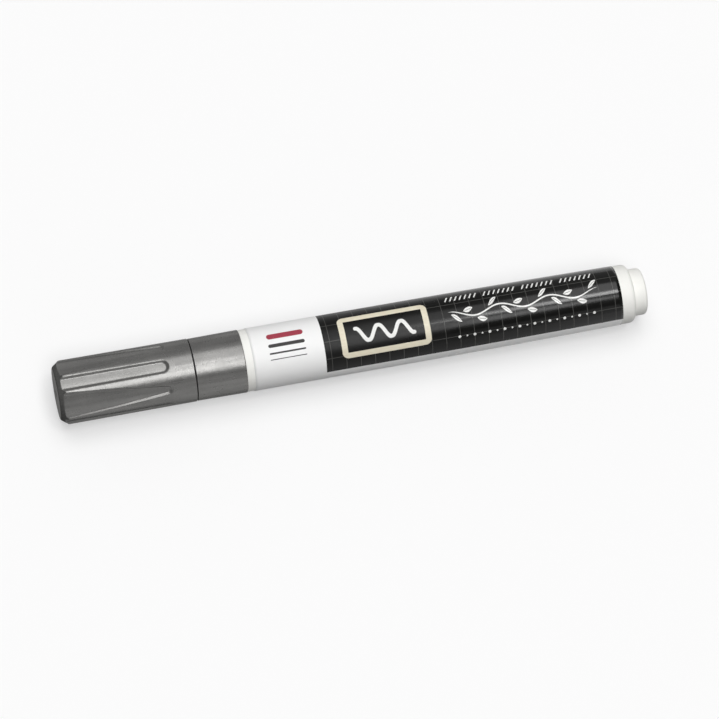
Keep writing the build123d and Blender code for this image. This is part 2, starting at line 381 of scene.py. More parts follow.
def painted_shade_zones(station, radius, angle):
    """Mask of painted shade on the cap: 1 half way down a flute's wall, -1 on the closed end's bevel, a
    share of that on its flat face, 0 on the floors and the plain cone. A wall counts 4 t (1 - t), with t
    the share of the way from the cone to the floor, and the bevel counts as the end where no flute cuts
    below it."""
    land = cap_radius(station)
    walls = np.zeros_like(radius)
    for cut, floor in flute_cuts(station, angle):
        depth = np.maximum(land - floor, flute_edge_blend)
        share = np.clip((land - np.minimum(cut, land)) / depth, 0, 1)
        walls = np.maximum(walls, 4 * share * (1 - share))
    walls = np.where(radius > cap_bore_r + flute_least_wall, walls, 0.0)
    uncut = np.clip(1 - (bevel_radius(station) - radius) / end_zone_edge, 0, 1)
    flat = np.interp(radius, (flat_end_r, cap_end_r - cap_bevel_depth), (flat_end_share, 1.0))
    end = np.where(station < end_face_depth, flat, uncut) * (station < cap_bevel_length)
    return walls * (1 - end) - end


def ring_stations(*stretches):
    """Stations spread over stretches, each given as (first, last, count)."""
    return np.concatenate([np.linspace(*stretch, endpoint=False) for stretch in stretches])


def make_cap():
    """Cap from the gate mark in its closed end, over the bevel and the fluted cone, round the rim and
    back along its bore."""
    bevel = ring_stations(*bevel_rings)
    end_face = rounded([
        (gate_depth, 0, 0),
        (gate_depth, gate_r - gate_slope, gate_rounds[0]),
        (0, gate_r, gate_rounds[1]),
        *((0, ring_r, 0) for ring_r in end_face_rings),
        (0, cap_end_r - cap_bevel_depth, cap_bevel_round),
        *zip(bevel, bevel_radius(bevel), np.zeros_like(bevel)),
        (cap_bevel_length, cap_radius(cap_bevel_length), cap_bevel_round),
        (bevel_run_out, cap_radius(bevel_run_out), 0),
    ], arc_steps=5)
    wall = ring_stations(*wall_rings)
    outer = np.stack([wall, cap_radius(wall)], axis=1)
    plain_start = wall_rings[-1][0]
    rim = rounded([
        (plain_start, cap_radius(plain_start), 0),
        (cap_length, cap_mouth_r, cap_rim_round),
        (cap_length, cap_bore_r, cap_rim_round),
        (cap_step, cap_bore_r, step_round),
        (cap_step, liner_bore_r, step_round),
        (cap_end_wall, liner_bore_r, step_round),
        (cap_end_wall, 0, 0),
    ], arc_steps=5)[1:]
    outline = np.concatenate([end_face, outer, rim])
    return revolved("cap_shell_fluted", outline, cap_columns, fluted, painted_shade_zones)


def make_liner():
    """Seal cup with a flange that stops on the cap's step, and a lip that grips the nose."""
    return revolved("cap_liner_cup", crisp([
        (cap_end_wall, 0, 0),
        (cap_end_wall, liner_r, 0.3),
        (cap_step, liner_r, 0),
        (cap_step, liner_flange_r, 0),
        (liner_mouth, liner_flange_r, 0.2),
        (liner_mouth, liner_lip_r, 0.3),
        (liner_lip_start, liner_lip_r, 0.2),
        (liner_lip_start - liner_lip_slope, liner_cavity_r, 0.2),
        (liner_inner_end, liner_cavity_r, 0.6),
        (liner_inner_end, 0, 0),
    ]), columns=128)


def bead_arc(station):
    """Crown of one snap bead: a circular arc over the bead's width, from the neck to the crown."""
    height = bead_crown_r - neck_r
    crown_radius = (bead_width**2 / 4 + height**2) / (2 * height)
    offset = np.linspace(-bead_width / 2, bead_width / 2, num=9)
    radius = bead_crown_r - crown_radius + np.sqrt(crown_radius**2 - offset**2)
    return np.stack([station + offset, radius], axis=1)


def make_front_section():
    """Nose, seal land, neck with snap beads and collar, and the feed bore behind the nib's bore."""
    outline = crisp([
        (nose_front, nib_bore_r, 0),
        (nose_front, nose_tip_r, 0.4),
        (cone_end, seal_r, 1.5),
        (neck_front, seal_r, 0.15),
        (neck_front, neck_r, 0.4),
        (collar_front, neck_r, 0.1),
        (collar_front, collar_front_r, 0.12),
        (collar_end, collar_rear_r, 0.12),
        (collar_end, skirt_bore_r, 0),
        (flange_front, skirt_bore_r, 0),
        (flange_front, feed_r, 0),
        (nib_bore_end, feed_r, 0),
        (nib_bore_end, nib_bore_r, 0),
    ])
    pitch = (collar_front - neck_front) / (bead_count + 1)
    beads = [bead_arc(neck_front + pitch * (i + 1)) for i in range(bead_count)]
    past_beads = int(np.argmax(outline[:, 0] > collar_front - bead_width / 2))
    outline = np.concatenate([outline[:past_beads], *beads, outline[past_beads:]])
    return revolved("front_section_moulded", outline, columns=192)


def make_nib():
    """Bullet nib: a rounded point, an arc tangent to the straight body, and a chamfered tail."""
    drop = nib_r - nib_point_r
    bullet_radius = (nib_bullet_length**2 + drop**2) / (2 * drop)
    behind = np.linspace(nib_bullet_length, 0, num=14)[1:]
    bullet = np.stack([
        nib_tip + nib_bullet_length - behind,
        nib_r - bullet_radius + np.sqrt(bullet_radius**2 - behind**2),
    ], axis=1)
    point = rounded([
        (nib_tip, 0, 0),
        (nib_tip, nib_point_r, nib_point_round),
        (bullet[1, 0], bullet[1, 1], 0),
    ], arc_steps=6)[:-2]
    tail_start = nib_rear - nib_tail_length
    tail = crisp([
        (tail_start, nib_r, 0.05),
        (nib_rear - nib_chamfer, nib_r, 0.1),
        (nib_rear, nib_r - nib_chamfer, 0.1),
        (nib_rear, 0, 0),
    ])[2:]
    along = np.linspace(nib_tip + nib_bullet_length, tail_start, num=30)[1:, None]
    body = np.hstack([along, np.full_like(along, nib_r)])
    return revolved("nib_bullet", np.concatenate([point, bullet[1:], body, tail]), columns=96)


def barrel_radius(station):
    """Radius of the barrel: straight, then a long arc tangent to the straight stretch."""
    drop = barrel_r - barrel_tail_r
    reach = barrel_end - taper_start
    arc_r = (reach**2 + drop**2) / (2 * drop)
    past = np.maximum(station - taper_start, 0)
    return barrel_r - arc_r + np.sqrt(arc_r**2 - past**2)


def make_barrel():
    """Tube with a spigot for the front section, a straight grip, a long taper and a round shoulder."""
    shoulder_start = barrel_end - shoulder_length
    along = np.linspace(taper_start, shoulder_start, num=24)
    taper = np.stack([along, barrel_radius(along)], axis=1)
    front = rounded([
        (spigot_front, barrel_bore_r, 0.06),
        (spigot_front, spigot_r, 0.3),
        (collar_end, spigot_r, 0.06),
        (collar_end, barrel_r, 0.15),
        (taper_start, barrel_r, 0),
    ], arc_steps=4)[3:-1]
    tail = rounded([
        (shoulder_start, barrel_radius(shoulder_start), 0),
        (barrel_end, barrel_tail_r, shoulder_round),
        (barrel_end, barrel_bore_r, 0.06),
        (spigot_front, barrel_bore_r, 0.06),
    ], arc_steps=10)[1:-1]
    return revolved("barrel_tube", np.concatenate([front, taper, tail]), columns=192)


def make_tail_plug():
    """Hollow plug pressed into the barrel, with the round stub that stands out of it."""
    return revolved("tail_plug_stub", crisp([
        (plug_hollow_end, 0, 0),
        (plug_hollow_end, plug_hollow_r, 0.8),
        (plug_front, plug_hollow_r, 0.15),
        (plug_front, plug_r, 0.3),
        (barrel_end, plug_r, 0),
        (barrel_end, post_r, 0),
        (length, post_r, stub_round),
        (length, gate_r, gate_rounds[1]),
        (length - gate_depth, gate_r - gate_slope, gate_rounds[0]),
        (length - gate_depth, 0, 0),
    ], rounding=0.04, arc_steps=8), columns=160)


def make_label():
    """Film wrapped once round the barrel with its end lapped over its start: a strip of radius
    barrel(x) + lift(a), carried over a full turn and the lap, with an inner and an outer face.
    The print reads two attributes in millimetres: along from the film's front edge, and around
    from the line that faces the viewer."""
    rows, columns = 120, 400
    station = np.linspace(label_start, label_end, rows)[:, None]
    lap = label_overlap / barrel_r
    travel = np.linspace(0, 2 * pi + lap, columns)[None]
    angle = radians(label_seam_turn - 360.0) + travel
    share = np.clip((travel - 2 * pi + 2 * lap) / (2 * lap), 0, 1)
    lift = label_overlap_lift * share * share * (3 - 2 * share)
    base = barrel_radius(station)
    outer = place(station, base + label_outer_lift + lift, angle)
    inner = place(station, base + label_inner_lift + lift, angle)
    points = np.concatenate([outer.reshape(-1, 3), inner.reshape(-1, 3)])
    faces = grid_faces(rows, columns, wrap_columns=False)
    inside = rows * columns
    index = np.arange(inside).reshape(rows, columns)
    edge = np.concatenate([
        index[0],
        index[1:, -1],
        index[-1, -2::-1],
        index[-2:0:-1, 0],
    ])
    following = np.roll(edge, -1)
    rim = np.stack([edge, edge + inside, following + inside, following], axis=-1)
    along = np.broadcast_to(station - label_start, (rows, columns))
    around = np.broadcast_to(barrel_r * (angle - radians(facing_turn)), (rows, columns))
    attributes = {
        "along": np.concatenate([along.ravel(), along.ravel()]),
        "around": np.concatenate([around.ravel(), around.ravel()]),
    }
    return make_mesh("label_wrap", points, [faces, faces[:, ::-1] + inside, rim], attributes)


def make_spring():
    """Helix with closed ends: a circle of the wire's radius carried along (station, mean radius, turning
    angle), in the plane of the outward direction and the coil's own binormal."""
    rings, sides = 48 * spring_turns, 14
    turn = np.linspace(0, spring_turns, rings)[:, None, None]
    first = spring_front + spring_seat_gap + spring_wire_r - length / 2
    rise = spring_rear - spring_front - 2 * (spring_seat_gap + spring_wire_r)
    angle = 2 * pi * turn + radians(lying_turn)
    outward = np.concatenate([0 * angle, np.cos(angle), np.sin(angle)], axis=-1)
    sideways = np.concatenate([0 * angle, -np.sin(angle), np.cos(angle)], axis=-1)
    pitch_run = hypot(rise, 2 * pi * spring_mean_r * spring_turns)
    climb = rise / pitch_run
    binormal = np.array([sqrt(1 - climb**2), 0, 0]) - climb * sideways
    centre = outward * spring_mean_r + np.array([1.0, 0, 0]) * (first + rise * turn / spring_turns)
    side = np.linspace(0, 2 * pi, sides, endpoint=False)[None, :, None]
    tube = centre + spring_wire_r * (np.cos(side) * outward + np.sin(side) * binormal)
    ends = centre[[0, -1], 0]
    points = np.concatenate([tube.reshape(-1, 3), ends]) + np.array([0, 0, axis_height])
    count = rings * sides
    faces = [
        grid_faces(rings, sides)[:, ::-1],
        pole_faces(0, sides, count, ring_is_after=False),
        pole_faces(count - sides, sides, count + 1, ring_is_after=True),
    ]
    return make_mesh("valve_spring_coil", points * MM, faces)


# Shader helpers

class Term:
    """A number in a shader tree. Arithmetic on terms adds Math nodes, so a pattern reads as a formula."""

    def __init__(self, tree, source):
        self.tree = tree
        self.source = source

    def math(self, operation, *others, clamp=False):
        """Math node on this term and the others."""
        node = self.tree.nodes.new("ShaderNodeMath")
        node.operation = operation
        node.use_clamp = clamp
        for socket, value in zip(node.inputs, (self, *others)):
            plug(self.tree, socket, value)
        return Term(self.tree, node.outputs[0])

    def __add__(self, other):
        return self.math("ADD", other)

    def __sub__(self, other):
        return self.math("SUBTRACT", other)

    def __mul__(self, other):
        return self.math("MULTIPLY", other)

    def __truediv__(self, other):
        return self.math("DIVIDE", other)

    def __abs__(self):
        return self.math("ABSOLUTE")

    def wave(self, period):
        """Sine with a period in the term's own units."""
        return (self * (2 * pi / period)).math("SINE")

    def most(self, other):
        """Larger of this term and another."""
        return self.math("MAXIMUM", other)

    def repeat(self, period):
        """Distance to the nearest multiple of a period."""
        return self.math("PINGPONG", period / 2)

    def clamped(self):
        """The value kept between 0 and 1."""
        return self.math("ADD", 0.0, clamp=True)

    def within(self, half_width, soft=0.05):
        """Mask that is 1 where the value lies inside a half width of 0, with a soft edge."""
        return ((abs(self) * -1.0 + half_width) / soft + 0.5).clamped()

    def below(self, soft=0.05):
        """Mask that is 1 where the value is negative, with a soft edge."""
        return (self * (-1.0 / soft) + 0.5).clamped()


def plug(tree, socket, value):
    """Links a term or socket to an input, or sets a plain value on it."""
    if isinstance(value, Term):
        tree.links.new(value.source, socket)
    elif isinstance(value, bpy.types.NodeSocket):
        tree.links.new(value, socket)
    else:
        socket.default_value = value


def feed(tree, node, **inputs):
    """Plugs values into a node's inputs by name, with underscores for spaces."""
    for key, value in inputs.items():
        plug(tree, node.inputs[key.replace("_", " ")], value)


def add_node(tree, kind, settings=None, **inputs):
    """Adds a shader node with its settings and inputs."""
    node = tree.nodes.new(kind)
    for key, value in (settings or {}).items():
        setattr(node, key, value)
    feed(tree, node, **inputs)
    return node


def attribute(tree, name):
    """A number stored on the mesh's points."""
    return Term(tree, add_node(tree, "ShaderNodeAttribute", {"attribute_name": name}).outputs["Fac"])


# Sockets of the Mix node's colour form, whose names its other forms share
mix_first, mix_second, mix_result = 6, 7, 2


def blended(tree, mask, first, second):
    """Colour that goes from the first to the second with a mask."""
    mix = add_node(tree, "ShaderNodeMix", {"data_type": "RGBA"}, Factor=mask)
    plug(tree, mix.inputs[mix_first], first)
    plug(tree, mix.inputs[mix_second], second)
    return mix.outputs[mix_result]


def noise(tree, vector, scale, detail=3.0, roughness=0.5):
    """Noise of about 0 to 1 over a vector's space."""
    node = add_node(tree, "ShaderNodeTexNoise", Scale=scale, Detail=detail, Roughness=roughness)
    feed(tree, node, Vector=vector)
    return Term(tree, node.outputs["Fac"])


def mapped(tree, **inputs):
    """Object coordinates, moved, turned and scaled."""
    coordinates = add_node(tree, "ShaderNodeTexCoord").outputs["Object"]
    return add_node(tree, "ShaderNodeMapping", Vector=coordinates, **inputs).outputs["Vector"]


def stretched(tree, along=1.0, across=1.0):
    """Object coordinates centred on the axis and scaled apart along it and across it."""
    shift = (0.0, 0.0, -axis_height * MM * across)
    return mapped(tree, Location=shift, Scale=(along, across, across))


def new_group(name, inputs, outputs):
    """Empty shader group with float sockets, and its input and output nodes."""
    group = bpy.data.node_groups.new(name, "ShaderNodeTree")
    kind = "NodeSocketFloat"
    for title, default in inputs.items():
        socket = group.interface.new_socket(title, in_out="INPUT", socket_type=kind)
        socket.default_value = default
    for title in outputs:
        group.interface.new_socket(title, in_out="OUTPUT", socket_type=kind)
    source = group.nodes.new("NodeGroupInput")
    sink = group.nodes.new("NodeGroupOutput")
    return group, source, sink


def make_moulded_grain():
    """Uneven skin of moulded plastic: a slow swell, flow streaks along the axis and a fine grain."""
    inputs = {"Grain": 1.0, "Streak": 1.0}
    group, source, sink = new_group("moulded_grain", inputs, ["Height", "Shade"])
    even = stretched(group)
    swell = noise(group, even, scale=160.0, detail=2.0) - 0.5
    grain = noise(group, even, scale=4200.0, detail=2.0) - 0.5
    streak = noise(group, stretched(group, along=60.0, across=900.0), scale=1.0) - 0.5
    height = swell * 0.5 + grain * Term(group, source.outputs["Grain"])
    shade = swell * 0.5 + streak * Term(group, source.outputs["Streak"])
    feed(group, sink, Height=height, Shade=shade)
    return group


def make_handling_marks():
    """Marks of use: smudges over a few millimetres, and thin scratches at two slants, where a noise that
    is drawn out along them passes a level."""
    scratch_turns = 24.0, -38.0
    scratch_level, scratch_gain = 0.72, 14.0
    inputs = {"Smudge": 1.0, "Scratch": 1.0}
    group, source, sink = new_group("handling_marks", inputs, ["Roughness", "Height"])
    even = stretched(group)
    smudge = noise(group, even, scale=230.0, detail=4.0, roughness=0.6) - 0.5
    scratch = None
    for turn in scratch_turns:
        slant = (0.0, radians(turn), radians(turn))
        line_at = mapped(group, Rotation=slant, Scale=(35.0, 2600.0, 2600.0))
        line = noise(group, line_at, scale=1.0, detail=1.0)
        fine = ((line - scratch_level) * scratch_gain).clamped()
        scratch = fine if scratch is None else scratch.most(fine)
    scratch = scratch * Term(group, source.outputs["Scratch"])
    rough = smudge * Term(group, source.outputs["Smudge"]) + scratch * 0.3
    feed(group, sink, Roughness=rough, Height=scratch * -1.0)
    return group


moulded_grain = make_moulded_grain()
handling_marks = make_handling_marks()


def use_group(tree, group, **inputs):
    """Places a shader group in a material and returns its outputs as terms by name."""
    node = tree.nodes.new("ShaderNodeGroup")
    node.node_tree = group
    feed(tree, node, **inputs)
    return {socket.name: Term(tree, socket) for socket in node.outputs}


def new_material(name, **values):
    """Material with a Principled shader, whose plain values are set on its own sockets."""
    material = bpy.data.materials.new(name)
    material.use_nodes = True
    tree = material.node_tree
    shader = tree.nodes["Principled BSDF"]
    feed(tree, shader, **values)
    return material, tree, shader


def set_bump(tree, shader, height, distance):
    """Feeds a height in units of a distance, in millimetres, to the shader's normal."""
    bump = add_node(tree, "ShaderNodeBump", Distance=distance * MM, Strength=1.0, Height=height)
    feed(tree, shader, Normal=bump.outputs["Normal"])


def shaded(tree, colour, shade, amount):
    """Colour made lighter and darker by a shade of about -0.5 to 0.5."""
    dark = tuple(c * (1 - amount) for c in colour) + (1.0,)
    light = tuple(min(c * (1 + amount), 1.0) for c in colour) + (1.0,)
    return blended(tree, (shade + 0.5).clamped(), dark, light)


# Colours of the materials, and the painted shade grey for the silver plastic's closed end and flute walls
pearl_grey = (0.19, 0.188, 0.183)
painted_shade_grey = (0.05, 0.05, 0.048)
moulded_white = (0.9, 0.897, 0.86)
liner_white = (0.84, 0.84, 0.8)
valve_white = (0.82, 0.83, 0.84)
fibre_white = (0.82, 0.81, 0.76)
rubber_black = (0.045, 0.045, 0.047)
wire_grey = (0.6, 0.6, 0.6)
ball_grey = (0.66, 0.66, 0.67)


def make_silver_plastic():
    """Silver-grey pearl plastic: metallic flake under a satin skin, with flow streaks and rubbed marks.
    Painted shade darkens the flute walls a little and the closed end more, and both are rougher."""
    material, tree, shader = new_material(
        "silver_pearl_plastic", Specular_IOR_Level=0.3, Specular_Tint=(0.2, 0.2, 0.2, 1.0)
    )
    skin = use_group(tree, moulded_grain, Grain=0.5, Streak=0.8)
    marks = use_group(tree, handling_marks, Smudge=0.16, Scratch=0.5)
    flake = noise(tree, stretched(tree), scale=5200.0, detail=1.0) - 0.5
    zone = attribute(tree, "zone")
    wall = zone.most(0.0)
    end_face = (zone * -1.0).most(0.0)
    pearl = shaded(tree, pearl_grey, skin["Shade"] + flake * 0.9, amount=0.3)
    # Speckled dark grey of the painted shade on the closed end and flute walls
    spark = noise(tree, stretched(tree), scale=3000.0, detail=2.0, roughness=0.6) - 0.5
    dark = shaded(tree, painted_shade_grey, spark * 2.0, amount=0.6)
    # Painted shade: the flute walls and the closed end blend towards the dark grey and lose metallic
    # shine
    painted_shade = wall * 0.12 + end_face * 0.7
    colour = blended(tree, painted_shade, pearl, dark)
    rough = marks["Roughness"] + skin["Shade"] * 0.05 + wall * 0.1 + end_face * 0.55 + 0.28
    feed(tree, shader, Base_Color=colour, Metallic=painted_shade * -0.6 + 0.62, Roughness=rough)
    relief = skin["Height"] * 0.6 + flake * 0.3 + marks["Height"] * 0.4 + spark * end_face * 4.0
    set_bump(tree, shader, relief, distance=0.006)
    return material


def make_white_plastic():
    """Moulded white plastic, slightly warm, with a satin skin."""
    material, tree, shader = new_material("white_satin_plastic", Specular_IOR_Level=0.25)
    skin = use_group(tree, moulded_grain, Grain=0.35, Streak=0.5)
    marks = use_group(tree, handling_marks, Smudge=0.2, Scratch=0.4)
    colour = shaded(tree, moulded_white, skin["Shade"], amount=0.03)
    feed(tree, shader, Base_Color=colour, Roughness=marks["Roughness"] + 0.48)
    set_bump(tree, shader, skin["Height"] + marks["Height"] * 0.4, distance=0.006)
    return material


def make_plain_plastic(name, colour, roughness):
    """Natural moulded plastic of an inner piece."""
    material, tree, shader = new_material(name)
    skin = use_group(tree, moulded_grain, Grain=0.4, Streak=0.6)
    marks = use_group(tree, handling_marks, Smudge=0.15, Scratch=0.2)
    clouded = shaded(tree, colour, skin["Shade"], amount=0.06)
    feed(tree, shader, Base_Color=clouded, Roughness=marks["Roughness"] + roughness)
    set_bump(tree, shader, skin["Height"], distance=0.008)
    return material


def make_nib_felt():
    """Bonded fibre: fine strands along the nib, a mottled colour and a dry surface."""
    material, tree, shader = new_material("nib_bonded_fibre")
    strands = noise(tree, stretched(tree, along=260.0, across=5200.0), scale=1.0) - 0.5
    mottle = noise(tree, stretched(tree), scale=900.0, detail=4.0) - 0.5
    fibre = shaded(tree, fibre_white, strands + mottle * 0.6, amount=0.12)
    feed(tree, shader, Base_Color=fibre, Roughness=mottle * 0.2 + 0.88)
    set_bump(tree, shader, strands + mottle * 0.5, distance=0.05)
    return material


def make_gasket_rubber():
    """Soft black rubber with a dull, grainy skin."""
    material, tree, shader = new_material("gasket_soft_rubber")
    skin = use_group(tree, moulded_grain, Grain=1.0, Streak=0.2)
    black = shaded(tree, rubber_black, skin["Shade"], amount=0.25)
    feed(tree, shader, Base_Color=black, Roughness=skin["Shade"] * 0.2 + 0.72)
    set_bump(tree, shader, skin["Height"], distance=0.012)
    return material


def make_steel(name, colour, roughness, draw_scale):
    """Bright stainless steel with fine drawing or polishing lines."""
    material, tree, shader = new_material(name, Metallic=1.0)
    marks = use_group(tree, handling_marks, Smudge=0.15, Scratch=0.6)
    lines = noise(tree, stretched(tree, draw_scale, across=3000.0), scale=1.0, detail=2.0) - 0.5
    lined = shaded(tree, colour, lines, amount=0.08)
    feed(tree, shader, Base_Color=lined, Roughness=marks["Roughness"] + lines * 0.1 + roughness)
    set_bump(tree, shader, lines * 0.5 + marks["Height"], distance=0.004)
    return material


# Label print, in millimetres along the film and around it from the line that faces the viewer

black_start = 16.8
black_lower_edge = 6.94
black_upper_edge = -16.2
black_edge = 0.04
grid_along, grid_around, grid_line = 3.4, 4.0, 0.075
grid_lead, grid_row = 1.4, -0.9
polished_start, polished_end = 15.0, 58.0
lacquer_start, lacquer_end = 50.0, 84.0
vine_start, vine_end, vine_middle = 46.7, 82.7, -2.0
vine_period, vine_phase, vine_sway = 12.0, 8.7, 0.85
stem_half_width, stem_fade = 0.18, 8.0
leaf_lead, leaf_pitch, leaf_length, leaf_width, leaf_reach = 0.3, 3.0, 2.3, 0.62, 1.35
leaf_slant, leaf_edge, rib_half, rib_share = 0.55, 0.08, 0.055, 0.36
dots_row, dots_start, dots_end = 3.3, 47.7, 81.9
dot_pitch, dot_small, dot_extra = 1.8, 0.2, 0.14
hatch_row, hatch_pitch, hatch_group = -6.6, 1.15, 8.0
hatch_slant, hatch_half_width, hatch_half_height = 0.5, 0.17, 0.75
hatch_before, hatch_after = 40.0, 72.0
panel_middle, panel_row = 31.4, -1.3
panel_half_length, panel_half_height, panel_round, panel_bar = 10.6, 5.1, 1.5, 1.35
stroke_period, stroke_sway, stroke_half, stroke_end = 5.4, 1.55, 0.45, 6.75
stroke_edge = 0.1
sample_middle, sample_half_length = 8.3, 4.3
sample_rows = ((-4.6, 0.7), (-2.2, 0.42), (-0.4, 0.2), (1.0, 0.1))
dark_ink = (0.045, 0.043, 0.042, 1.0)
red_ink = (0.36, 0.05, 0.075, 1.0)
sample_inks = (red_ink, dark_ink, dark_ink, dark_ink)
paper_white = (0.9, 0.9, 0.895, 1.0)
film_black = (0.005, 0.005, 0.0046, 1.0)
grid_grey = (0.06, 0.06, 0.056, 1.0)
chalk_white = (0.84, 0.84, 0.82, 1.0)
pore_level, pore_gain, pore_depth = 0.3, 9.0, 0.3
cream_light = (0.86, 0.83, 0.68, 1.0)
cream_dark = (0.68, 0.6, 0.45, 1.0)


def rounded_box(along, around, half_length, half_height, corner):
    """Signed distance to a rectangle with round corners."""
    over = (abs(along) - (half_length - corner)).most(0.0)
    above = (abs(around) - (half_height - corner)).most(0.0)
    return (over * over + above * above).math("SQRT") - corner


def between(value, start, end):
    """Mask that is 1 between a start and an end."""
    return (abs(value - (start + end) / 2) - (end - start) / 2).below()


def ramp(value, start, end):
    """0 before a start, 1 after an end, and even in between."""
    return ((value - start) / (end - start)).clamped()


def chalk(tree, mask, along, around):
    """A drawn mark with the crumbly edge and pores of chalk ink."""
    grain = add_node(tree, "ShaderNodeCombineXYZ", X=along, Y=around).outputs["Vector"]
    pores = noise(tree, grain, scale=5.0, roughness=0.6)
    pores = ((pores - pore_level) * pore_gain).clamped()
    return mask * (pores * pore_depth + (1 - pore_depth))


def vine(along, around):
    """A swaying stem with pointed leaves to both sides in turn."""
    from_start = along - vine_start
    stem_line = (from_start + vine_phase).wave(vine_period) * vine_sway + vine_middle
    reach = (along - (vine_start + vine_end) / 2) / ((vine_end - vine_start) / 2)
    stem_half = (reach.math("POWER", stem_fade) * -1.0 + 1.0).most(0.0) * stem_half_width
    stem = (abs(around - stem_line) - stem_half).below()
    from_leaf = from_start - leaf_lead
    cell = (from_leaf / leaf_pitch).math("FLOOR")
    side = (cell.math("MODULO", 2.0) - 0.5) * -2.0
    from_middle = from_leaf - (cell + 0.5) * leaf_pitch
    from_stem = (around - stem_line) * side - leaf_reach
    slant = from_stem - from_middle * leaf_slant
    share = from_middle / (leaf_length / 2)
    leaf_half = (share * share * -1.0 + 1.0).most(0.0) * leaf_width
    from_leaf_end = abs(from_middle) - leaf_length / 2
    leaf = (abs(slant) - leaf_half).below(leaf_edge) * from_leaf_end.below(leaf_edge)
    rib = slant.within(rib_half) * (abs(from_middle) - leaf_length * rib_share).below(leaf_edge)
    return stem.most(leaf - rib).most(0.0) * between(along, vine_start, vine_end)


def small_rows(along, around):
    """A row of dots in two sizes below the vine, and a row of short slanted strokes above it."""
    dot_along = along.repeat(dot_pitch)
    dot_around = around - dots_row
    odd = (along / (2 * dot_pitch) + 0.25).math("FRACT").math("GREATER_THAN", 0.5)
    dot_size = odd * dot_extra + dot_small
    dots = ((dot_along * dot_along + dot_around * dot_around).math("SQRT") - dot_size).below()
    from_row = around - hatch_row
    leaning = along + from_row * hatch_slant
    strokes = leaning.repeat(hatch_pitch).within(hatch_half_width) * from_row.within(hatch_half_height)
    number = (leaning / hatch_pitch + 0.5).math("FLOOR")
    place_in_group = (number - hatch_before - 1.0).math("MODULO", hatch_group)
    kept = place_in_group.math("LESS_THAN", hatch_group - 1.5)
    inside = number.math("GREATER_THAN", hatch_before) * number.math("LESS_THAN", hatch_after)
    return (dots * between(along, dots_start, dots_end)).most(strokes * kept * inside)


def wavy_stroke(along, around):
    """A sine stroke of even width with round ends, measured from the panel's middle. Its distance is
    the height above the line, divided by sqrt(1 + slope slope)."""
    turns = 2 * pi / stroke_period
    slope = (along * turns).math("COSINE") * (stroke_sway * turns)
    height = around - along.wave(stroke_period) * stroke_sway
    distance = height / (slope * slope + 1.0).math("SQRT")
    stroke = distance.within(stroke_half, stroke_edge) * (abs(along) - stroke_end).below()
    for end in (-1.0, 1.0):
        cap_along = along - stroke_end * end
        cap_around = around - stroke_sway * end
        cap_distance = (cap_along * cap_along + cap_around * cap_around).math("SQRT") - stroke_half
        stroke = stroke.most(cap_distance.below(stroke_edge))
    return stroke


def make_label_film():
    """Printed film: a white front with a scale of line widths, and a black field with a plain grid, a
    cream-framed panel and chalk ornaments, under a lacquer that is glossier towards the tail."""
    material, tree, shader = new_material(
        "label_printed_film", Specular_IOR_Level=0.19, Coat_Roughness=0.12
    )
    along = attribute(tree, "along")
    around = attribute(tree, "around")
    black = (along * -1.0 + black_start).below(black_edge)
    black = black * (around - black_lower_edge).below(black_edge)
    black = black * (around * -1.0 + black_upper_edge).below(black_edge)
    lines = (along - black_start - grid_lead).repeat(grid_along).within(grid_line)
    lines = lines.most((around - grid_row).repeat(grid_around).within(grid_line)) * black
    panel_along = along - panel_middle
    panel_around = around - panel_row
    box = rounded_box(panel_along, panel_around, panel_half_length, panel_half_height, panel_round)
    frame_bar = (box + panel_bar / 2).within(panel_bar / 2)
    outside_panel = (box + panel_bar).below() * -1.0 + 1.0
    drawing = vine(along, around).most(small_rows(along, around))
    drawing = drawing.most(wavy_stroke(panel_along, panel_around))
    drawing = chalk(tree, drawing, along, around)
    grain_at = add_node(tree, "ShaderNodeCombineXYZ", X=along * 0.25, Y=around).outputs["Vector"]
    wood = noise(tree, grain_at, scale=2.2, detail=4.0, roughness=0.6)
    cream = blended(tree, wood, cream_light, cream_dark)
    paper = paper_white
    for (row, half), ink in zip(sample_rows, sample_inks):
        bar = rounded_box(along - sample_middle, around - row, sample_half_length, half, half)
        paper = blended(tree, bar.below(), paper, ink)
    field = blended(tree, lines * outside_panel, film_black, grid_grey)
    print_colour = blended(tree, black, paper, field)
    print_colour = blended(tree, frame_bar, print_colour, cream)
    print_colour = blended(tree, drawing, print_colour, chalk_white)
    marks = use_group(tree, handling_marks, Smudge=0.18, Scratch=0.35)
    polished = ramp(along, polished_start, polished_end)
    rough = marks["Roughness"] + black * -0.04 + polished * -0.24 + 0.45
    lacquer = ramp(along, lacquer_start, lacquer_end) * 0.3
    feed(tree, shader, Base_Color=print_colour, Roughness=rough, Coat_Weight=lacquer)
    swell = noise(tree, stretched(tree), scale=210.0, detail=2.0) - 0.5
    roll_at = add_node(tree, "ShaderNodeCombineXYZ", X=along * 3.2, Y=around * 0.22).outputs["Vector"]
    roll_lines = noise(tree, roll_at, scale=1.0, detail=2.0) - 0.5
    relief = swell * 1.5 + roll_lines * 0.8 + drawing * 0.5 + marks["Height"] * 0.4
    set_bump(tree, shader, relief, distance=0.008)
    return material


# Pieces

silver = make_silver_plastic()
white = make_white_plastic()
natural = make_plain_plastic("natural_liner_plastic", liner_white, roughness=0.5)
valve_plastic = make_plain_plastic("natural_valve_plastic", valve_white, roughness=0.45)
rubber = make_gasket_rubber()
wire_steel = make_steel("drawn_wire_steel", wire_grey, roughness=0.28, draw_scale=200.0)
ball_steel = make_steel("polished_ball_steel", ball_grey, roughness=0.12, draw_scale=1500.0)

finished(make_cap(), "cap", "cap_shell", silver)
finished(make_liner(), "cap", "cap_liner", natural)
finished(make_front_section(), "holder", "front_section", silver)
finished(make_nib(), "nib_and_valve", "nib", make_nib_felt())
finished(make_barrel(), "holder", "barrel", white)
finished(make_label(), "holder", "label", make_label_film())
finished(make_tail_plug(), "holder", "tail_plug", white)
spring = finished(make_spring(), "holder", "valve_spring", wire_steel)
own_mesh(spring)

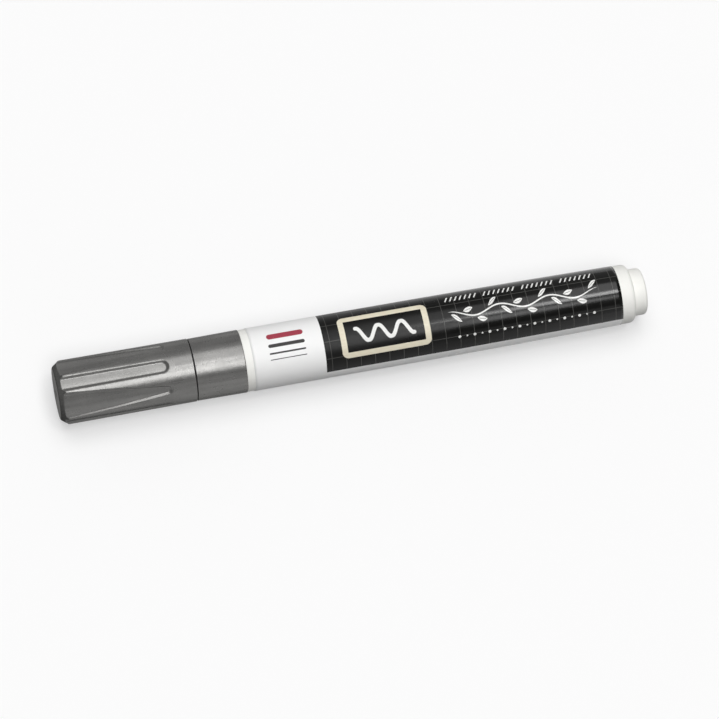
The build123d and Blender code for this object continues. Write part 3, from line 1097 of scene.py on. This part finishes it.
for node, material in (
    ("valve_housing", valve_plastic),
    ("valve_stem", valve_plastic),
    ("spring_retainer", valve_plastic),
    ("valve_gasket", rubber),
    ("mixing_ball", ball_steel),
):
    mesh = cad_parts[node].data
    mesh.materials.clear()
    mesh.materials.append(material)


# Floor, light and camera: reach and clipping in metres, view distance and shift in millimetres, and
# the lights' angles in degrees

floor_reach = 60.0
floor_shown = 0.57
floor_thrown = 0.05
floor_glow = 0.376
surroundings = 0.12
view_lean = radians(8.41)
view_tilt = radians(10.01)
view_distance = 931.7
view_shift = (1.72, -4.44)
sensor_width = 36.0
lens_length = 200.3
clip_near, clip_far = 0.05, 200.0
lights = {
    "key_softbox": dict(above_facing=-4.0, towards_tail=0.0, spread=27.0, strength=1.22),
    "strip_softbox": dict(above_facing=15.0, towards_tail=13.0, spread=12.0, strength=0.48),
    "top_softbox": dict(above_facing=36.0, towards_tail=0.0, spread=44.0, strength=1.2),
    "back_softbox": dict(above_facing=95.0, towards_tail=0.0, spread=90.0, strength=0.4),
    "front_card": dict(above_facing=-55.0, towards_tail=9.0, spread=36.0, strength=0.16),
}


def grey(value):
    """Neutral colour."""
    return (value, value, value, 1.0)


def seen_directly(tree):
    """1 for camera, glossy and transmission rays, 0 for the others."""
    path = add_node(tree, "ShaderNodeLightPath")
    ray = Term(tree, path.outputs["Is Camera Ray"])
    ray = ray.most(Term(tree, path.outputs["Is Glossy Ray"]))
    return ray.most(Term(tree, path.outputs["Is Transmission Ray"]))


def make_floor():
    """Plain white floor that reaches to the horizon, with a light shadow. It throws less light back than
    it shows."""
    corners = np.array([[-1, -1, 0], [1, -1, 0], [1, 1, 0], [-1, 1, 0]]) * floor_reach
    floor = make_mesh("floor", corners, [np.array([[0, 1, 2, 3]])])
    material = bpy.data.materials.new("white_floor")
    material.use_nodes = True
    tree = material.node_tree
    tree.nodes.clear()
    seen = seen_directly(tree)
    colour = blended(tree, seen, grey(floor_thrown), grey(floor_shown))
    diffuse = add_node(tree, "ShaderNodeBsdfDiffuse", Color=colour)
    glow = add_node(tree, "ShaderNodeEmission", Strength=seen * floor_glow)
    both = add_node(tree, "ShaderNodeAddShader")
    tree.links.new(diffuse.outputs["BSDF"], both.inputs[0])
    tree.links.new(glow.outputs["Emission"], both.inputs[1])
    add_node(tree, "ShaderNodeOutputMaterial", Surface=both.outputs["Shader"])
    floor.data.materials.append(material)


def make_world():
    """Dim even surroundings."""
    world = bpy.data.worlds.new("studio")
    bpy.context.scene.world = world
    world.use_nodes = True
    background = world.node_tree.nodes["Background"]
    background.inputs["Color"].default_value = grey(surroundings)


def about_axis(vector, angle):
    """Vector turned about +X."""
    return Matrix.Rotation(angle, 3, "X") @ Vector(vector)


def make_light(name, above_facing, towards_tail, spread, strength):
    """Broad far light, placed by its angle above the line that faces the viewer and its lean along X."""
    lamp = bpy.data.lights.new(name, "SUN")
    lamp.energy = strength
    lamp.angle = radians(spread)
    light = bpy.data.objects.new(name, lamp)
    bpy.context.collection.objects.link(light)
    lean = radians(towards_tail)
    direction = about_axis((sin(lean), 0, cos(lean)), radians(facing_turn - above_facing))
    light.matrix_world = direction.to_track_quat("Z", "Y").to_matrix().to_4x4()


def make_camera():
    """Long lens that looks down on the marker, leaning towards the cap and tilted about its own axis."""
    turn = radians(facing_turn)
    back = Vector((-sin(view_lean), 0, cos(view_lean)))
    level = Vector((cos(view_lean), 0, sin(view_lean)))
    right = level * cos(view_tilt) + Vector((0, -1, 0)) * sin(view_tilt)
    up = back.cross(right)
    back, right, up = (about_axis(direction, turn) for direction in (back, right, up))
    target = Vector((view_shift[0], 0, axis_height)) + up * view_shift[1]
    lens = bpy.data.cameras.new("camera")
    lens.sensor_width = sensor_width
    lens.lens = lens_length
    lens.clip_start = clip_near
    lens.clip_end = clip_far
    camera = bpy.data.objects.new("camera", lens)
    bpy.context.collection.objects.link(camera)
    place_at = (target + back * view_distance) * MM
    turned = Matrix((right, up, back)).transposed().to_4x4()
    camera.matrix_world = Matrix.Translation(place_at) @ turned
    bpy.context.scene.camera = camera


make_floor()
make_world()
for name, light in lights.items():
    make_light(name, **light)
make_camera()
bpy.context.scene.view_settings.view_transform = "Standard"
